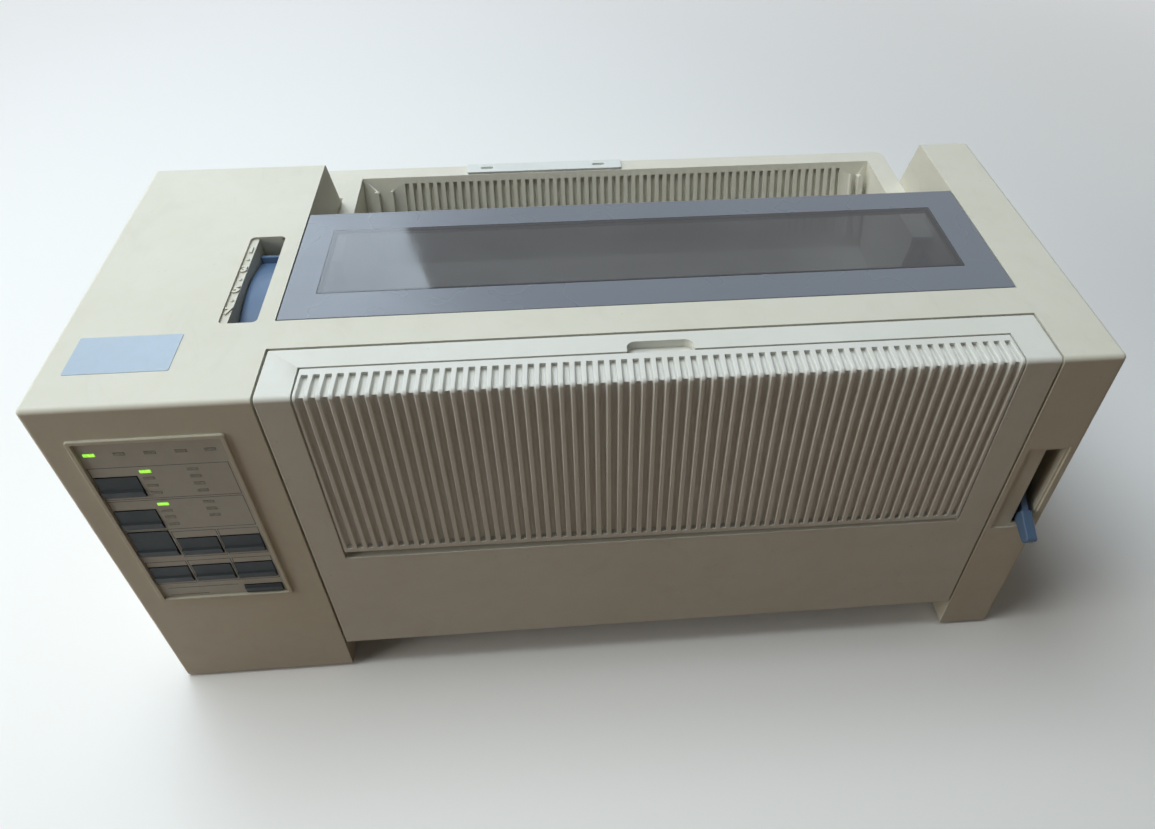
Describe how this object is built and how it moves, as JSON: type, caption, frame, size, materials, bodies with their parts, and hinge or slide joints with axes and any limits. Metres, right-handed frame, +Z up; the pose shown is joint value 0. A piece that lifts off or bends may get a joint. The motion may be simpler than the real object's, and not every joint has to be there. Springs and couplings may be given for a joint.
{
  "type": "dot matrix printer",
  "caption": "Wide forms impact printer with end towers, ribbed sheet guide, hinged lid over the platen, rear paper well, key panel and feed gear train.",
  "frame": {"origin": "on the table, midway between the towers' outer sides and midway between the front faces and the rear edge of the case", "axes": "+X to the right as seen from the front, +Y to the back, +Z up"},
  "size_m": [0.6039, 0.3208, 0.2668],
  "materials": {
    "case_cream": "fine moulded texture",
    "cover_white": "fine moulded texture",
    "guide_beige": "satin moulded",
    "plate_white": "satin moulded",
    "lid_smoke": "polished tinted plastic",
    "window_clear": "polished clear acrylic",
    "lever_blue": "satin moulded",
    "key_grey": "fine moulded texture",
    "overlay_taupe": "printed polyester film",
    "lens_unlit": "clear moulded",
    "lens_lit": "clear moulded, lit green",
    "label_white": "bare printed film",
    "board_green": "lacquered laminate",
    "black_plastic": "fine moulded texture",
    "ribbon_black": "satin moulded",
    "steel_bright": "ground",
    "steel_plated": "zinc plated sheet",
    "rubber_black": "ground rubber",
    "nylon_pale": "satin moulded",
    "head_metal": "bead blasted",
    "motor_metal": "satin"
  },
  "bodies": {
    "case": {"base_tray": "case_cream", "rubber_feet": "rubber_black", "top_cover": "case_cream", "case_screws": "steel_bright", "rear_guide": "guide_beige", "rear_slot_plate": "plate_white", "name_label": "label_white", "panel_bezel": "cover_white", "panel_overlay": "overlay_taupe", "indicator_lenses": "lens_unlit", "indicator_lenses_lit": "lens_lit", "panel_board": "board_green", "side_frame_left": "steel_plated", "side_frame_right": "steel_plated", "platen_bushes": "nylon_pale", "carriage_guide_rod": "steel_bright", "carriage_front_rail": "steel_bright", "tractor_support_rod": "steel_bright", "gear_studs": "steel_bright", "paper_chute": "steel_plated", "ribbon_cartridge": "ribbon_black", "timing_belt": "rubber_black", "stepper_motors": "motor_metal", "main_board": "board_green", "power_supply": "motor_metal", "power_inlet": "black_plastic", "interface_connector": "black_plastic"},
    "access_lid": {"access_lid": "lid_smoke", "lid_window": "window_clear"},
    "front_cover": {"front_cover": "cover_white"},
    "sheet_guide": {"sheet_guide": "guide_beige"},
    "thickness_lever": {"thickness_lever": "lever_blue"},
    "select_lever": {"select_lever": "lever_blue"},
    "platen": {"platen_roller": "rubber_black", "platen_shaft": "steel_bright", "platen_gear": "nylon_pale", "platen_knob": "black_plastic"},
    "train_gear_upper": {"train_gear_upper": "nylon_pale"},
    "train_gear_lower": {"train_gear_lower": "nylon_pale"},
    "tractor_drive": {"tractor_drive_shaft": "steel_bright"},
    "feed_idler": {"feed_idler_gear": "nylon_pale"},
    "feed_pinion": {"feed_motor_pinion": "steel_bright"},
    "tractor_left": {"tractor_left": "black_plastic"},
    "tractor_left_door": {"tractor_left_door": "black_plastic"},
    "tractor_right": {"tractor_right": "black_plastic"},
    "tractor_right_door": {"tractor_right_door": "black_plastic"},
    "carriage": {"carriage": "black_plastic", "print_head": "head_metal"},
    "belt_drive": {"belt_drive_pulley": "nylon_pale"},
    "belt_idler": {"belt_idler_pulley": "nylon_pale"},
    "power_rocker": {"power_rocker": "black_plastic"},
    "key_1": {"panel_key_1": "key_grey"},
    "key_2": {"panel_key_2": "key_grey"},
    "key_3": {"panel_key_3": "key_grey"},
    "key_4": {"panel_key_4": "key_grey"},
    "key_5": {"panel_key_5": "key_grey"},
    "key_6": {"panel_key_6": "key_grey"},
    "key_7": {"panel_key_7": "key_grey"},
    "key_8": {"panel_key_8": "key_grey"},
    "key_9": {"panel_key_9": "key_grey"}
  },
  "joints": [
    {"name": "access_lid_hinge", "type": "hinge", "parent": "case", "child": "access_lid", "pos_m": [0.04025, 0.0175, 0.2615], "axis": [-1, 0, 0], "range_deg": [0, 100]},
    {"name": "front_cover_hinge", "type": "hinge", "parent": "case", "child": "front_cover", "pos_m": [0.04025, -0.1475, 0.037], "axis": [1, 0, 0], "range_deg": [0, 85]},
    {"name": "sheet_guide_hinge", "type": "hinge", "parent": "front_cover", "child": "sheet_guide", "pos_m": [0.04025, -0.1484, 0.1345], "axis": [1, 0, 0], "range_deg": [0, 55]},
    {"name": "thickness_lever_turn", "type": "hinge", "parent": "case", "child": "thickness_lever", "pos_m": [-0.192, -0.045, 0.163], "axis": [1, 0, 0], "range_deg": [0, 36]},
    {"name": "select_lever_turn", "type": "hinge", "parent": "case", "child": "select_lever", "pos_m": [0.2785, -0.107, 0.1555], "axis": [-1, 0, 0], "range_deg": [0, 57]},
    {"name": "platen_turn", "type": "hinge", "parent": "case", "child": "platen", "pos_m": [0.04025, 0.013, 0.181], "axis": [1, 0, 0], "continuous": true},
    {"name": "train_upper_turn", "type": "hinge", "parent": "case", "child": "train_gear_upper", "pos_m": [0.2685, -0.02697, 0.15265], "axis": [1, 0, 0], "continuous": true},
    {"name": "train_lower_turn", "type": "hinge", "parent": "case", "child": "train_gear_lower", "pos_m": [0.2685, -0.06775, 0.12372], "axis": [1, 0, 0], "continuous": true},
    {"name": "tractor_drive_turn", "type": "hinge", "parent": "case", "child": "tractor_drive", "pos_m": [0.04025, -0.10404, 0.09798], "axis": [1, 0, 0], "continuous": true},
    {"name": "feed_idler_turn", "type": "hinge", "parent": "case", "child": "feed_idler", "pos_m": [0.2685, 0.02873, 0.14206], "axis": [1, 0, 0], "continuous": true},
    {"name": "feed_pinion_turn", "type": "hinge", "parent": "case", "child": "feed_pinion", "pos_m": [0.2685, 0.03885, 0.11702], "axis": [1, 0, 0], "continuous": true},
    {"name": "tractor_left_slide", "type": "slide", "parent": "case", "child": "tractor_left", "axis": [1, 0, 0], "range_m": [-0.02, 0.06]},
    {"name": "tractor_left_door_hinge", "type": "hinge", "parent": "tractor_left", "child": "tractor_left_door", "pos_m": [-0.132, -0.1177, 0.098], "axis": [0, 0, -1], "range_deg": [0, 100]},
    {"name": "tractor_right_slide", "type": "slide", "parent": "case", "child": "tractor_right", "axis": [1, 0, 0], "range_m": [-0.06, 0.02]},
    {"name": "tractor_right_door_hinge", "type": "hinge", "parent": "tractor_right", "child": "tractor_right_door", "pos_m": [0.212, -0.1177, 0.098], "axis": [0, 0, 1], "range_deg": [0, 100]},
    {"name": "carriage_slide", "type": "slide", "parent": "case", "child": "carriage", "axis": [1, 0, 0], "range_m": [-0.17, 0.17]},
    {"name": "belt_drive_turn", "type": "hinge", "parent": "case", "child": "belt_drive", "pos_m": [-0.155, -0.052, 0.149], "axis": [0, 0, 1], "range_deg": [-1100, 1100]},
    {"name": "belt_idler_turn", "type": "hinge", "parent": "case", "child": "belt_idler", "pos_m": [0.24, -0.052, 0.149], "axis": [0, 0, 1], "range_deg": [-1100, 1100]},
    {"name": "power_rocker_turn", "type": "hinge", "parent": "case", "child": "power_rocker", "pos_m": [-0.287, -0.104, 0.049], "axis": [0, 0, -1], "range_deg": [0, 14]},
    {"name": "key_1_press", "type": "slide", "parent": "case", "child": "key_1", "axis": [0, 1, 0], "range_m": [0, 0.0015], "stiffness_N_per_m": 400, "springref_m": -0.0008},
    {"name": "key_2_press", "type": "slide", "parent": "case", "child": "key_2", "axis": [0, 1, 0], "range_m": [0, 0.0015], "stiffness_N_per_m": 400, "springref_m": -0.0008},
    {"name": "key_3_press", "type": "slide", "parent": "case", "child": "key_3", "axis": [0, 1, 0], "range_m": [0, 0.0015], "stiffness_N_per_m": 400, "springref_m": -0.0008},
    {"name": "key_4_press", "type": "slide", "parent": "case", "child": "key_4", "axis": [0, 1, 0], "range_m": [0, 0.0015], "stiffness_N_per_m": 400, "springref_m": -0.0008},
    {"name": "key_5_press", "type": "slide", "parent": "case", "child": "key_5", "axis": [0, 1, 0], "range_m": [0, 0.0015], "stiffness_N_per_m": 400, "springref_m": -0.0008},
    {"name": "key_6_press", "type": "slide", "parent": "case", "child": "key_6", "axis": [0, 1, 0], "range_m": [0, 0.0015], "stiffness_N_per_m": 400, "springref_m": -0.0008},
    {"name": "key_7_press", "type": "slide", "parent": "case", "child": "key_7", "axis": [0, 1, 0], "range_m": [0, 0.0015], "stiffness_N_per_m": 400, "springref_m": -0.0008},
    {"name": "key_8_press", "type": "slide", "parent": "case", "child": "key_8", "axis": [0, 1, 0], "range_m": [0, 0.0015], "stiffness_N_per_m": 400, "springref_m": -0.0008},
    {"name": "key_9_press", "type": "slide", "parent": "case", "child": "key_9", "axis": [0, 1, 0], "range_m": [0, 0.0015], "stiffness_N_per_m": 400, "springref_m": -0.0008}
  ],
  "couplings": [
    {"joint": "train_upper_turn", "follows": "platen_turn", "ratio": -0.96},
    {"joint": "train_lower_turn", "follows": "platen_turn", "ratio": 0.96},
    {"joint": "tractor_drive_turn", "follows": "platen_turn", "ratio": -1.2308},
    {"joint": "feed_idler_turn", "follows": "platen_turn", "ratio": -1.3333},
    {"joint": "feed_pinion_turn", "follows": "platen_turn", "ratio": 2.6667},
    {"joint": "belt_drive_turn", "follows": "carriage_slide", "rad_per_m": 112.36},
    {"joint": "belt_idler_turn", "follows": "carriage_slide", "rad_per_m": 112.36}
  ]
}
